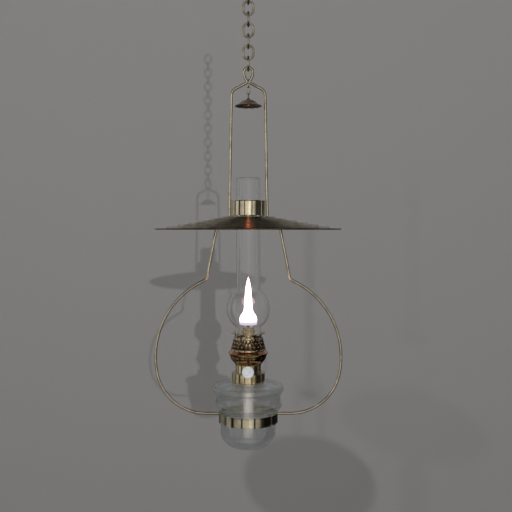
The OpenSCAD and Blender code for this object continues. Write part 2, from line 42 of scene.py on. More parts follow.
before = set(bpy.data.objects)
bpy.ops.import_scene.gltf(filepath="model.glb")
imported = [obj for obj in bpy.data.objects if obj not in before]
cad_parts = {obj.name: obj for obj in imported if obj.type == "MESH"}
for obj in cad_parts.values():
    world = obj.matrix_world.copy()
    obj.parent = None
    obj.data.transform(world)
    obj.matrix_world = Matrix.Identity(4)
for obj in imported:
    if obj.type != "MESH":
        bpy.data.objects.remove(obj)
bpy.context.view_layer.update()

# One millimetre in metres, the links of the chain, and the sides of a round wire
MM = 0.001
LINKS = 18
SIDES = 20


def top(node):
    """Highest point of a solid, in millimetres."""
    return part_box(node)[1].z / MM


def foot(node):
    """Lowest point of a solid, in millimetres."""
    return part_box(node)[0].z / MM


def reach(node):
    """Largest distance of a solid from the lamp's axis along X, in millimetres."""
    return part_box(node)[1].x / MM


def linear(code, alpha=None):
    """An sRGB hex colour as linear values."""
    parts = [int(code[i:i + 2], 16) / 255 for i in (1, 3, 5)]
    values = [c / 12.92 if c <= 0.04045 else ((c + 0.055) / 1.055) ** 2.4 for c in parts]
    return values if alpha is None else values + [alpha]


def tinted(code, tint):
    """An sRGB hex colour as opaque linear values, multiplied by a tint."""
    return [value * share for value, share in zip(linear(code), tint)] + [1.0]


# Sizes and colours


class LampSizes(bpy.types.PropertyGroup):
    """Sizes that a user would change."""

    link_wire: bpy.props.FloatProperty(
        name="Link wire", description="Diameter of the link wire", default=0.0036, unit="LENGTH")
    frame_wire: bpy.props.FloatProperty(
        name="Frame wire", description="Diameter of the frame wire", default=0.0044, unit="LENGTH")
    shade_sheet: bpy.props.FloatProperty(
        name="Shade sheet", description="Thickness of the shade", default=0.0008, unit="LENGTH")
    chimney_wall: bpy.props.FloatProperty(
        name="Chimney glass", description="Thickness of the chimney's glass", default=0.0016,
        unit="LENGTH")
    flame_height: bpy.props.FloatProperty(
        name="Flame height", description="Height of the flame over the spreader", default=0.0765,
        unit="LENGTH")
    flame_glow: bpy.props.FloatProperty(
        name="Flame glow", description="Strength of the flame's light", default=7.0, min=0.0)
    wall_distance: bpy.props.FloatProperty(
        name="Wall distance", description="From the lamp to the wall behind it", default=1.05,
        unit="LENGTH")


class LampColours(bpy.types.PropertyGroup):
    """Colours that a user would change."""

    brass_tint: bpy.props.FloatVectorProperty(
        name="Brass tint", description="Multiplies the colour of all the brass; white leaves it alone",
        subtype="COLOR", size=3, min=0.0, max=1.0, default=(1.0, 1.0, 1.0))
    glass_tint: bpy.props.FloatVectorProperty(
        name="Glass tint", description="Multiplies the colour of the glass; white leaves it alone",
        subtype="COLOR", size=3, min=0.0, max=1.0, default=(1.0, 1.0, 1.0))
    wall: bpy.props.FloatVectorProperty(
        name="Wall", description="Paint of the wall behind the lamp", subtype="COLOR", size=3,
        default=linear("#8b8a8a"))


# Shaping helpers


def finish_mesh(bm, name, body, material, replaces=(), sharp=40, outward=True):
    """Turns a bmesh into a piece of the lamp that rides on a body."""
    bmesh.ops.remove_doubles(bm, verts=bm.verts, dist=1e-6)
    if outward:
        bmesh.ops.recalc_face_normals(bm, faces=bm.faces)
    for face in bm.faces:
        face.smooth = True
    limit = math.radians(sharp)
    for edge in bm.edges:
        if len(edge.link_faces) == 2 and edge.calc_face_angle(0.0) > limit:
            edge.smooth = False
    mesh = bpy.data.meshes.new(name)
    bm.to_mesh(mesh)
    bm.free()
    piece = bpy.data.objects.new(name, mesh)
    bpy.context.scene.collection.objects.link(piece)
    mesh.materials.append(material)
    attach(piece, body)
    # Large faces keep their own normals, so bands mirror the room crisply
    crisp = piece.modifiers.new("face weighted normals", "WEIGHTED_NORMAL")
    crisp.keep_sharp = True
    if replaces:
        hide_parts(*replaces)
    return piece


def turn(bm, outline, steps, closed=True):
    """Turns an outline of points (r, z), in millimetres, once round the lamp's axis."""
    verts = [bm.verts.new((r * MM, 0, z * MM)) for r, z in outline]
    pairs = list(zip(verts, verts[1:]))
    if closed:
        pairs.append((verts[-1], verts[0]))
    edges = [bm.edges.new(pair) for pair in pairs]
    bmesh.ops.spin(
        bm, geom=verts + edges, cent=(0, 0, 0), axis=(0, 0, 1), dvec=(0, 0, 0), angle=2 * math.pi,
        steps=steps, use_merge=True, use_normal_flip=False, use_duplicate=False)


def arc(x, z, r, a0, a1, n):
    """Points of an arc between two angles in degrees, in n steps."""
    turns = [math.radians(a0 + (a1 - a0) * i / n) for i in range(n + 1)]
    return [(x + r * math.cos(a), z + r * math.sin(a)) for a in turns]


def inside_of(outline, wall):
    """The outline moved by a wall's thickness to its right-hand side."""
    points = [Vector(p) for p in outline]
    moved = []
    for i, p in enumerate(points):
        a = (points[max(i, 1)] - points[max(i - 1, 0)]).normalized()
        b = (points[min(i + 1, len(points) - 1)] - points[min(i, len(points) - 2)]).normalized()
        na, nb = Vector((a.y, -a.x)), Vector((b.y, -b.x))
        mid = (na + nb).normalized()
        moved.append(tuple(p + mid * wall / max(mid.dot(nb), 0.3)))
    return moved


def sheet_of(outline, wall):
    """A closed outline of even thickness."""
    return list(outline) + inside_of(outline, wall)[::-1]


def rounded(outline, radius, n=3):
    """The outline with its corners rounded, where there is room."""
    points = [Vector(p) for p in outline]
    out = [tuple(points[0])]
    for before, p, after in zip(points, points[1:], points[2:]):
        a, b = before - p, after - p
        cut = min(radius, a.length * 0.45, b.length * 0.45)
        p0, p1 = p + a.normalized() * cut, p + b.normalized() * cut
        for i in range(n + 1):
            t = i / n
            out.append(tuple(p0 * (1 - t) ** 2 + p * 2 * t * (1 - t) + p1 * t ** 2))
    out.append(tuple(points[-1]))
    return out


def punched_plate(bm, rounds, z, sheet):
    """A flat sheet between its outer edge, the first of the rounds (x, radius, sides), and the
    holes, the others, with the outer edge left open to join what goes on from it."""
    made = set(bm.verts)
    edges = []
    for x, radius, sides in rounds:
        verts = bmesh.ops.create_circle(bm, cap_ends=False, radius=radius * MM, segments=sides)["verts"]
        bmesh.ops.translate(bm, verts=verts, vec=(x * MM, 0, z * MM))
        edges += {e for v in verts for e in v.link_edges}
    filled = bmesh.ops.triangle_fill(bm, use_beauty=True, use_dissolve=False, edges=edges)["geom"]
    faces = [g for g in filled if isinstance(g, bmesh.types.BMFace)]
    lower = bmesh.ops.extrude_face_region(bm, geom=faces, use_keep_orig=True)["geom"]
    bmesh.ops.translate(bm, verts=[g for g in lower if isinstance(g, bmesh.types.BMVert)],
                        vec=(0, 0, -sheet * MM))
    edge = rounds[0][1] * MM - 1e-5
    wall = [f for f in bm.faces if not made.intersection(f.verts)
            and all(math.hypot(v.co.x, v.co.y) > edge for v in f.verts)]
    bmesh.ops.delete(bm, geom=wall, context="FACES_ONLY")


def bend_wire(bm, place, heading, moves, radius, sides=SIDES):
    """Runs a round wire in the XZ plane through straight moves (length, 0) and bends
    (radius, degrees), in millimetres; a positive bend turns it down. Returns its last place."""
    bend_step = 6
    x, z = place
    ring = bmesh.ops.create_circle(bm, cap_ends=False, radius=radius * MM, segments=sides)["verts"]
    tilt = Matrix.Rotation(math.radians(heading + 90), 3, "Y")
    bmesh.ops.rotate(bm, verts=ring, cent=(0, 0, 0), matrix=tilt)
    bmesh.ops.translate(bm, verts=ring, vec=(x * MM, 0, z * MM))
    edges = list({e for v in ring for e in v.link_edges})
    for size, bend in moves:
        a = math.radians(heading)
        if bend == 0:
            ret = bmesh.ops.extrude_edge_only(bm, edges=edges)["geom"]
            verts = [g for g in ret if isinstance(g, bmesh.types.BMVert)]
            edges = [g for g in ret if isinstance(g, bmesh.types.BMEdge)]
            step = Vector((math.cos(a), 0, -math.sin(a))) * size * MM
            bmesh.ops.translate(bm, verts=verts, vec=step)
            x += size * math.cos(a)
            z -= size * math.sin(a)
        else:
            side = math.copysign(1, bend)
            cx = x - side * size * math.sin(a)
            cz = z - side * size * math.cos(a)
            steps = max(3, round(abs(bend) / bend_step))
            ret = bmesh.ops.spin(
                bm, geom=edges, cent=(cx * MM, 0, cz * MM), axis=(0, side, 0), dvec=(0, 0, 0),
                angle=math.radians(abs(bend)), steps=steps, use_merge=False,
                use_normal_flip=False, use_duplicate=False)
            edges = [g for g in ret["geom_last"] if isinstance(g, bmesh.types.BMEdge)]
            heading += bend
            a = math.radians(heading)
            x = cx + side * size * math.sin(a)
            z = cz + side * size * math.cos(a)
    return x, z


def oval_ring(bm, length, width, wire, sides):
    """A closed oval ring of wire in the XZ plane, with its inside top at the origin."""
    bend = (width - wire) / 2
    straight = length - width
    moves = [(bend, 90), (straight, 0), (bend, 180), (straight, 0), (bend, 90)]
    bend_wire(bm, (0, wire / 2), 0, moves, wire / 2, sides)
    bmesh.ops.remove_doubles(bm, verts=bm.verts, dist=1e-5)


def dressed_copy(node, name, body, material, sharp=30):
    """A merged, smoothly shaded copy of a solid, for a piece whose shape is right."""
    bm = bmesh.new()
    bm.from_mesh(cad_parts[node].data)
    bmesh.ops.remove_doubles(bm, verts=bm.verts, dist=2e-6)
    return finish_mesh(bm, name, body, material, [node], sharp, outward=False)


# Materials


def add_node(tree, kind, links=None, values=None, **settings):
    """Adds a node with its settings, its socket values and its links."""
    node = tree.nodes.new(kind)
    for key, value in settings.items():
        setattr(node, key, value)
    for key, value in (values or {}).items():
        node.inputs[key].default_value = value
    for key, source in (links or {}).items():
        tree.links.new(source, node.inputs[key])
    return node


def maths(tree, operation, *terms):
    """The result of a maths node, whose terms are numbers or sockets."""
    values = {i: term for i, term in enumerate(terms) if isinstance(term, float)}
    links = {i: term for i, term in enumerate(terms) if i not in values}
    return add_node(tree, "ShaderNodeMath", links, values, operation=operation).outputs[0]


def mapped(tree, value, low, high, start=0.0, end=1.0):
    """A value moved from one range to another, and held at its ends."""
    ranges = {"From Min": low, "From Max": high, "To Min": start, "To Max": end}
    return add_node(tree, "ShaderNodeMapRange", {"Value": value}, ranges).outputs["Result"]


def noise(tree, place, scale, detail, **values):
    """Cloudy noise between 0 and 1, with so many clouds a metre."""
    sockets = {"Scale": scale, "Detail": detail, **values}
    return add_node(tree, "ShaderNodeTexNoise", {"Vector": place}, sockets).outputs["Fac"]


def ramp(tree, value, stops):
    """The colour that a ramp of stops (place, colour) gives a value."""
    node = add_node(tree, "ShaderNodeValToRGB", {"Fac": value})
    elements = node.color_ramp.elements
    while len(elements) < len(stops):
        elements.new(0.5)
    for element, (place, colour) in zip(elements, stops):
        element.position = place
        element.color = colour
    return node


def bump(tree, shader, height, strength, distance):
    """Lets a height, in shares of a distance in metres, tilt a shader's surface."""
    node = add_node(tree, "ShaderNodeBump", {"Height": height},
                    {"Strength": strength, "Distance": distance})
    tree.links.new(node.outputs["Normal"], shader.inputs["Normal"])


def mixed(tree, share, one, two):
    """Sends a mix of two shaders to the material's output."""
    mix = add_node(tree, "ShaderNodeMixShader", {0: share, 1: one.outputs[0], 2: two.outputs[0]})
    tree.links.new(mix.outputs[0], tree.nodes["Material Output"].inputs["Surface"])


def new_material(name):
    """A node material with its output and shader, and the place on the object."""
    material = bpy.data.materials.new(name)
    material.use_nodes = True
    tree = material.node_tree
    tree.nodes.clear()
    shader = add_node(tree, "ShaderNodeBsdfPrincipled")
    add_node(tree, "ShaderNodeOutputMaterial", {"Surface": shader.outputs[0]})
    place = add_node(tree, "ShaderNodeTexCoord").outputs["Object"]
    return material, tree, shader, place


def polished_brass(name, bright, dull, low, high, turned_marks, metal):
    """Drawn or spun brass, polished and lightly lacquered: sharp reflections, with faint
    clouding where fingers have dulled it. Soot and tarnish hide a share of the metal."""
    material, tree, shader, place = new_material(name)
    # Clouds of 12 mm, as breath and handling leave
    clouds = noise(tree, place, 85.0, 4.0, Roughness=0.6)
    brass_tint = bpy.context.scene.lamp_colours.brass_tint
    tint = ramp(tree, clouds, [(0.35, tinted(dull, brass_tint)), (0.62, tinted(bright, brass_tint))])
    shine = mapped(tree, clouds, 0.3, 0.7, high, low)
    if turned_marks:
        # Lathe lines round the axis, 0.6 mm apart
        split = add_node(tree, "ShaderNodeSeparateXYZ", {"Vector": place})
        flat = add_node(tree, "ShaderNodeCombineXYZ",
                        {"X": split.outputs["X"], "Y": split.outputs["Y"]})
        radius = add_node(tree, "ShaderNodeVectorMath", {0: flat.outputs[0]}, operation="LENGTH")
        travel = maths(tree, "ADD", radius.outputs["Value"], split.outputs["Z"])
        lines = add_node(tree, "ShaderNodeTexNoise", {"W": travel}, {"Scale": 1600.0, "Detail": 2.0},
                         noise_dimensions="1D")
        marks = lines.outputs["Fac"]
    else:
        # Polishing marks 1.1 mm apart, drawn as coarse as shows
        marks = noise(tree, place, 900.0, 2.0)
    bump(tree, shader, marks, 0.05, 0.0002)
    shader.inputs["Metallic"].default_value = metal
    tree.links.new(tint.outputs["Color"], shader.inputs["Base Color"])
    tree.links.new(shine, shader.inputs["Roughness"])
    return material


def blown_glass(name, tint, ripple, span, thin):
    """Clear blown soda-lime glass: smooth, with slow ripples that bend what is behind it.
    Lamps shine through it to what stands inside, and it shades what is far behind it. The
    share called thin goes straight through, as in a thin wall."""
    material, tree, shader, place = new_material(name)
    bump(tree, shader, noise(tree, place, span, 2.0, Distortion=0.3), ripple, 0.001)
    glass_tint = bpy.context.scene.lamp_colours.glass_tint
    shader.inputs["Base Color"].default_value = tinted(tint, glass_tint)
    shader.inputs["Transmission Weight"].default_value = 1.0
    shader.inputs["Roughness"].default_value = 0.0
    # A little under soda glass's 1.5, as a thin uneven wall bends light less
    shader.inputs["IOR"].default_value = 1.40
    clear = add_node(tree, "ShaderNodeBsdfTransparent", None, {"Color": linear("#f4f6f6", 1.0)})
    ray = add_node(tree, "ShaderNodeLightPath")
    # A lamp's ray that ends within 0.4 m of the glass lights what the glass holds
    near = maths(tree, "LESS_THAN", ray.outputs["Ray Length"], 0.4)
    lit = maths(tree, "MULTIPLY", ray.outputs["Is Shadow Ray"], near)
    mixed(tree, maths(tree, "MAXIMUM", lit, thin), shader, clear)
    return material


def opal_glass():
    """White opal glass of the knob: bright and glossy, with a little depth."""
    material, tree, shader, place = new_material("opal glass, moulded")
    clouds = noise(tree, place, 160.0, 3.0)
    tint = ramp(tree, clouds, [(0.3, linear("#bcc0c2", 1.0)), (0.7, linear("#cdd2d1", 1.0))])
    tree.links.new(tint.outputs["Color"], shader.inputs["Base Color"])
    shader.inputs["Roughness"].default_value = 0.12
    shader.inputs["Subsurface Weight"].default_value = 0.25
    shader.inputs["Subsurface Scale"].default_value = 0.002
    return material


def woven_wick():
    """Cotton wick, flat woven: matt and off-white, with cords up its length."""
    material, tree, shader, place = new_material("cotton wick, woven")
    split = add_node(tree, "ShaderNodeSeparateXYZ", {"Vector": place})
    bearing = maths(tree, "ARCTAN2", split.outputs["Y"], split.outputs["X"])
    # Cords 1.4 mm apart round the wick, crossed by picks 0.9 mm apart
    cords = maths(tree, "SINE", maths(tree, "MULTIPLY", bearing, 37.0))
    picks = maths(tree, "SINE", maths(tree, "MULTIPLY", split.outputs["Z"], 7000.0))
    bump(tree, shader, maths(tree, "ADD", cords, picks), 0.5, 0.0003)
    fuzz = noise(tree, place, 500.0, 4.0)
    tint = ramp(tree, fuzz, [(0.3, linear("#aaa39f", 1.0)), (0.7, linear("#c8c0bb", 1.0))])
    tree.links.new(tint.outputs["Color"], shader.inputs["Base Color"])
    shader.inputs["Roughness"].default_value = 0.9
    return material


def lamp_plaster():
    """Plaster of the collar joint: matt, chalky and slightly pitted."""
    material, tree, shader, place = new_material("plaster, cast")
    pits = noise(tree, place, 700.0, 4.0)
    tint = ramp(tree, pits, [(0.3, linear("#c4bba9", 1.0)), (0.7, linear("#e4ddcf", 1.0))])
    bump(tree, shader, pits, 0.4, 0.0003)
    tree.links.new(tint.outputs["Color"], shader.inputs["Base Color"])
    shader.inputs["Roughness"].default_value = 0.85
    return material


def burning_gas(low_z, height, strength):
    """The flame: violet where it leaves the wick, and above that pink light, strong enough
    to look white, with its tint left in what mirrors it."""
    material, tree, shader, place = new_material("flame, burning lamp oil")
    tree.nodes.remove(shader)
    split = add_node(tree, "ShaderNodeSeparateXYZ", {"Vector": place})
    rise = mapped(tree, split.outputs["Z"], low_z * MM, low_z * MM + height)
    tint = ramp(tree, rise, [
        (0.0, linear("#ecdcf2", 1.0)), (0.07, linear("#e8dcf6", 1.0)), (0.13, linear("#ffd0de", 1.0)),
        (0.85, linear("#ffc4d6", 1.0)), (1.0, linear("#ffb4cc", 1.0)),
    ])
    power = mapped(tree, rise, 0.05, 0.14, 0.92, strength)
    glow = add_node(tree, "ShaderNodeEmission", {"Color": tint.outputs["Color"], "Strength": power})
    tree.links.new(glow.outputs[0], tree.nodes["Material Output"].inputs["Surface"])
    return material


def wall_paint(name, tint):
    """Matt wall paint: even, with a faint roller texture. Polished metal mirrors the room
    beyond the board instead."""
    material, tree, shader, place = new_material(name)
    bump(tree, shader, noise(tree, place, 400.0, 3.0), 0.1, 0.0005)
    shader.inputs["Base Color"].default_value = (*tint, 1.0)
    shader.inputs["Roughness"].default_value = 0.8
    shader.inputs["Specular IOR Level"].default_value = 0.2
    # The back of a board doesn't hide the lamp from a viewer behind it
    clear = add_node(tree, "ShaderNodeBsdfTransparent")
    side = add_node(tree, "ShaderNodeNewGeometry")
    ray = add_node(tree, "ShaderNodeLightPath")
    mirrored = maths(tree, "MULTIPLY", ray.outputs["Is Glossy Ray"], ray.outputs["Is Reflection Ray"])
    mixed(tree, maths(tree, "MAXIMUM", side.outputs["Backfacing"], mirrored), shader, clear)
    return material


def studio_air():
    """The room that the brass mirrors: pale panels with dark gaps, and little from above."""
    world = bpy.data.worlds.new("studio air")
    world.use_nodes = True
    tree = world.node_tree
    tree.nodes.clear()
    way = add_node(tree, "ShaderNodeTexCoord").outputs["Generated"]
    split = add_node(tree, "ShaderNodeSeparateXYZ", {"Vector": way})
    back = maths(tree, "MULTIPLY", split.outputs["Y"], -1.0)
    bearing = maths(tree, "ARCTAN2", split.outputs["X"], back)
    across = mapped(tree, bearing, -math.pi, math.pi)
    bands = [
        (-180, 0.08), (-146, 0.08), (-132, 0.24), (-110, 0.28), (-104, 0.10), (-96, 0.10),
        (-90, 0.5), (-72, 0.5), (-68, 0.03), (-59, 0.03), (-55, 0.35), (-33, 0.5), (-28, 0.45),
        (-26, 0.02), (-22, 0.02), (-20, 0.6), (2, 0.7), (5, 1.0), (13, 1.0), (16, 0.75), (21, 0.7),
        (23, 0.02), (27, 0.02), (30, 0.5), (42, 0.42), (49, 0.2), (54, 0.03), (98, 0.03), (101, 0.3),
        (105, 0.3), (109, 0.03), (180, 0.08),
    ]
    panels = ramp(tree, across, [((a + 180) / 360, (v, v * 0.99, v * 0.96, 1.0)) for a, v in bands])
    panels.color_ramp.interpolation = "EASE"
    rise = mapped(tree, split.outputs["Z"], -1.0, 1.0)
    levels = [(0.0, 0.05), (0.16, 0.08), (0.28, 0.55), (0.38, 0.62), (0.48, 1.0), (0.60, 1.0),
              (0.66, 0.6), (0.72, 0.35), (0.745, 0.12), (1.0, 0.06)]
    height = ramp(tree, rise, [(at, (v, v, v, 1.0)) for at, v in levels])
    seen = add_node(tree, "ShaderNodeMix", {6: panels.outputs["Color"], 7: height.outputs["Color"]},
                    {0: 1.0}, data_type="RGBA", blend_type="MULTIPLY")
    # Out to the sides it is darker below, and a pale glow stands over the horizon
    turned = maths(tree, "ABSOLUTE", bearing)
    right = mapped(tree, bearing, -0.1, 0.1, 0.35, 1.0)
    low = mapped(tree, split.outputs["Z"], -0.16, -0.22)
    dim = maths(tree, "MULTIPLY", mapped(tree, turned, 1.05, 1.15, 0.0, 0.75), low)
    dim = maths(tree, "MULTIPLY", dim, right)
    seen = add_node(tree, "ShaderNodeMix", {0: dim, 6: seen.outputs[2]}, {7: (0.0, 0.0, 0.0, 1.0)},
                    data_type="RGBA")
    haze = [(0.56, 0.0), (0.64, 0.13), (0.80, 0.11), (0.92, 0.08), (0.96, 0.0)]
    glow = ramp(tree, rise, [(at, (v, v * 1.04, v * 1.25, 1.0)) for at, v in haze])
    wide = mapped(tree, turned, 1.48, 1.78)
    seen = add_node(tree, "ShaderNodeMix", {0: wide, 6: seen.outputs[2], 7: glow.outputs["Color"]},
                    data_type="RGBA", blend_type="ADD")
    # A narrow red strip stands above the viewer
    narrow = mapped(tree, maths(tree, "ABSOLUTE", split.outputs["X"]), 0.014, 0.030, 1.0, 0.0)
    above = mapped(tree, split.outputs["Z"], 0.60, 0.66)
    strip = maths(tree, "MULTIPLY", narrow, above)
    seen = add_node(tree, "ShaderNodeMix", {0: strip, 6: seen.outputs[2]},
                    {7: linear("#e0786a", 1.0)}, data_type="RGBA")
    # A viewer sees plain grey air, both past the lamp and through its glass
    ray = add_node(tree, "ShaderNodeLightPath")
    through = maths(tree, "GREATER_THAN", ray.outputs["Transmission Depth"], 0.5)
    direct = maths(tree, "MAXIMUM", ray.outputs["Is Camera Ray"], through)
    shown = add_node(tree, "ShaderNodeMix", {0: direct, 6: seen.outputs[2]},
                     {7: linear("#84827f", 1.0)}, data_type="RGBA")
    air = add_node(tree, "ShaderNodeBackground", {"Color": shown.outputs[2]}, {"Strength": 1.5})
    add_node(tree, "ShaderNodeOutputWorld", {"Surface": air.outputs[0]})
    return world


# Name, bright and dull colour, least and most roughness, turned marks, and share of metal
BRASSES = {
    # Satin grey gold, as wire comes from the die
    "chain": ("brass, drawn chain wire", "#c8c0a8", "#8a826a", 0.10, 0.20, False, 1.0),
    # Pale gold with a line of light along the wire
    "frame": ("brass, polished heavy wire", "#cbc1a9", "#a79c85", 0.08, 0.16, False, 1.0),
    # Nearly a mirror, with the room in upright bars
    "ring": ("brass, polished band", "#cfc5ad", "#bcb195", 0.03, 0.07, True, 1.0),
    # Dull olive brown that hardly mirrors, as tarnish; on the shade's rim bead it is painted shade
    "dark": ("brass, tarnished, and painted shade on the rim", "#86764a", "#4a4028", 0.22, 0.40, False, 1.0),
    # Warm brown under soot, with a soft sheen
    "bell": ("brass, smoked bell", "#c6b096", "#86766a", 0.20, 0.36, False, 0.88),
    # Dark mirror, broken by its terraces
    "shade": ("brass, spun shade", "#cfc3a2", "#a3946f", 0.06, 0.14, True, 1.0),
    # Bright gold with sharp dark bars
    "burner": ("brass, stamped burner", "#dccdaa", "#b59f78", 0.06, 0.14, True, 1.0),
    # Deeper gold that mirrors the base below it
    "bowl": ("brass, stamped bowl", "#cfae80", "#96744a", 0.08, 0.16, True, 1.0),
    # Orange on the flange's slope, a painted reflection of the flame's light
    "flame_glint": ("brass flange, orange painted flame reflection", "#f4bd94", "#cc8b62", 0.08, 0.18, True, 1.0),
    # Reddish brown between the bosses: painted shade in the lattice's recesses
    "pierced": ("brass, pierced, darkened as painted shade", "#866a50", "#443024", 0.14, 0.28, False, 1.0),
    # Silvery glints on the bosses, a painted highlight over the dark lattice
    "boss": ("brass, embossed, brightened as painted highlight", "#e6d6bc", "#c4b094", 0.03, 0.08, False, 1.0),
}

# Name, colour, strength and fineness of the ripples, and the share that goes straight through
GLASSES = {
    # A thin clear tube, nearly even
    "chimney": ("lamp glass, blown tube", "#fcfdfd", 0.11, 60.0, 0.0),
    # Clear and heavier, with the mould's uneven skin
    "font": ("soda glass, blown in a mould", "#f8fafb", 0.25, 55.0, 0.55),
}

OTHERS = {"knob": opal_glass, "wick": woven_wick, "plaster": lamp_plaster}

MADE = {}


def material_of(key):
    """The finished material of a kind of surface, made once."""
    if key not in MADE:
        if key in BRASSES:
            MADE[key] = polished_brass(*BRASSES[key])
        elif key in GLASSES:
            MADE[key] = blown_glass(*GLASSES[key])
        else:
            MADE[key] = OTHERS[key]()
    return MADE[key]


# The pieces


class LAMP_OT_chain(bpy.types.Operator):
    """Makes the links of the chain"""

    bl_idname = "lamp.chain"
    bl_label = "Chain"

    def execute(self, context):
        wire = context.scene.lamp_sizes.link_wire / MM
        for i in range(1, LINKS + 1):
            node = f"chain_link_{i:02d}"
            low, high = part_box(node)
            length = (high.z - low.z) / MM
            width = max(high.x - low.x, high.y - low.y) / MM
            bm = bmesh.new()
            oval_ring(bm, length, width, wire, 16)
            if i % 2 == 0:
                turned = Matrix.Rotation(math.pi / 2, 3, "Z")
                bmesh.ops.rotate(bm, verts=bm.verts, cent=(0, 0, 0), matrix=turned)
            bmesh.ops.translate(bm, verts=bm.verts, vec=(0, 0, high.z - wire * MM))
            finish_mesh(bm, f"link_{i:02d}", node, material_of("chain"), [node], 80)
        return {"FINISHED"}


class LAMP_OT_frame(bpy.types.Operator):
    """Bends the frame from one heavy wire and sets it in the font ring"""

    bl_idname = "lamp.frame"
    bl_label = "Frame"

    def execute(self, context):
        wire = context.scene.lamp_sizes.frame_wire / MM
        eye_top = top("frame_yoke") - wire / 2
        # Radii of the bends from the eye down, lengths of the straight runs, and the bow's radii
        eye, eye_side, neck, shoulder, shelf_bend, shelf_end, knee = 7.4, 21.7, 3.065, 13, 3.5, 8, 9
        shoulder_run, leg, shelf, arm = 18.4, 196.4, 10.6, 86.7
        bow, bow_low, ring_grip = 136, 80, 0.4
        half = [
            (eye, 90), (eye_side, 38), (neck, -101), (shoulder_run, 0), (shoulder, 62), (leg, 0),
            (shelf_bend, -77), (shelf, 0), (shelf_end, 66.9), (arm, 0), (knee, -53.9), (bow, 77),
            (bow_low, 78),
        ]
        bm = bmesh.new()
        place = bend_wire(bm, (0, eye_top), 0, half, wire / 2)
        ring_r = reach("font_ring")
        bend_wire(bm, place, 180, [(place[0] - ring_r + ring_grip, 0)], wire / 2)
        bmesh.ops.remove_doubles(bm, verts=bm.verts, dist=1e-5)
        bmesh.ops.mirror(bm, geom=bm.verts[:] + bm.edges[:] + bm.faces[:],
                         matrix=Matrix.Identity(4), merge_dist=2e-5, axis="X")
        nodes = ["frame_yoke", "frame_arm_left", "frame_arm_right"]
        finish_mesh(bm, "frame_wire", "frame", material_of("frame"), nodes, 60)

        # A band with a lip at each edge, turned in a little at top and bottom
        top_z, low_z = top("font_ring"), foot("font_ring")
        wall, back, lip, groove, edge = 1.6, 4.0, 1.4, 0.25, 0.4
        bm = bmesh.new()
        outline = rounded([
            (ring_r - wall, low_z + back), (ring_r - wall, low_z), (ring_r, low_z),
            (ring_r, low_z + lip), (ring_r - groove, low_z + lip + edge),
            (ring_r - groove, top_z - lip - edge), (ring_r, top_z - lip), (ring_r, top_z),
            (ring_r - wall, top_z), (ring_r - wall, top_z - back),
        ], edge)
        turn(bm, outline, 128)
        finish_mesh(bm, "font_ring_band", "frame", material_of("ring"),
                    ["font_ring"], 50)
        head_r, flat, sunk = 2.6, 0.25, 0.1
        bm = bmesh.new()
        for side in (1, -1):
            head = bmesh.ops.create_uvsphere(bm, u_segments=20, v_segments=10, radius=head_r * MM)
            bmesh.ops.scale(bm, verts=head["verts"], vec=(flat, 1, 1))
            inside = Vector((side * (ring_r - wall + sunk), 0, place[1])) * MM
            bmesh.ops.translate(bm, verts=head["verts"], vec=inside)
        finish_mesh(bm, "arm_rivet_heads", "frame", material_of("frame"))
        return {"FINISHED"}


class LAMP_OT_bell(bpy.types.Operator):
    """Makes the smoke bell with its knob and rings"""

    bl_idname = "lamp.bell"
    bl_label = "Smoke bell"

    def execute(self, context):
        wire = 1.5
        for node, along_y in (("bell_ring_upper", True), ("bell_ring_lower", False)):
            low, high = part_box(node)
            width = max(high.x - low.x, high.y - low.y) / MM
            bm = bmesh.new()
            oval_ring(bm, (high.z - low.z) / MM, width, wire, 12)
            if along_y:
                turned = Matrix.Rotation(math.pi / 2, 3, "Z")
                bmesh.ops.rotate(bm, verts=bm.verts, cent=(0, 0, 0), matrix=turned)
            bmesh.ops.translate(bm, verts=bm.verts, vec=(0, 0, high.z - wire * MM))
            finish_mesh(bm, node + "_wire", node, material_of("chain"), [node], 80)

        dressed_copy("bell_knob", "bell_top_knob", "smoke_bell", material_of("dark"))

        rim, high, low = reach("smoke_bell"), top("smoke_bell"), foot("smoke_bell")
        sheet, lip, flutes, depth, plain = 0.7, 0.6, 12, 0.45, 0.45
        drop = high - low - lip
        line = rounded([
            (0.2, high), (rim * 0.30, high - drop * 0.04), (rim * 0.45, high - drop * 0.15),
            (rim * 0.56, high - drop * 0.36), (rim * 0.65, high - drop * 0.60),
            (rim * 0.80, high - drop * 0.79), (rim - 1, high - drop * 0.94), (rim - 0.3, high - drop),
        ], 2.0)
        bm = bmesh.new()
        turn(bm, sheet_of(line, sheet), 96)
        bmesh.ops.remove_doubles(bm, verts=bm.verts, dist=1e-6)
        for vert in bm.verts:
            r = math.hypot(vert.co.x, vert.co.y) / MM
            if r > rim * plain:
                # Pressed flutes, deepest at the brim
                share = (r / rim - plain) / (1 - plain)
                wave = math.cos(flutes * math.atan2(vert.co.y, vert.co.x))
                vert.co.z += depth * share * (wave - 1) * 0.5 * MM
        finish_mesh(bm, "smoke_bell_dish", "smoke_bell", material_of("bell"),
                    ["smoke_bell"], 60)
        return {"FINISHED"}


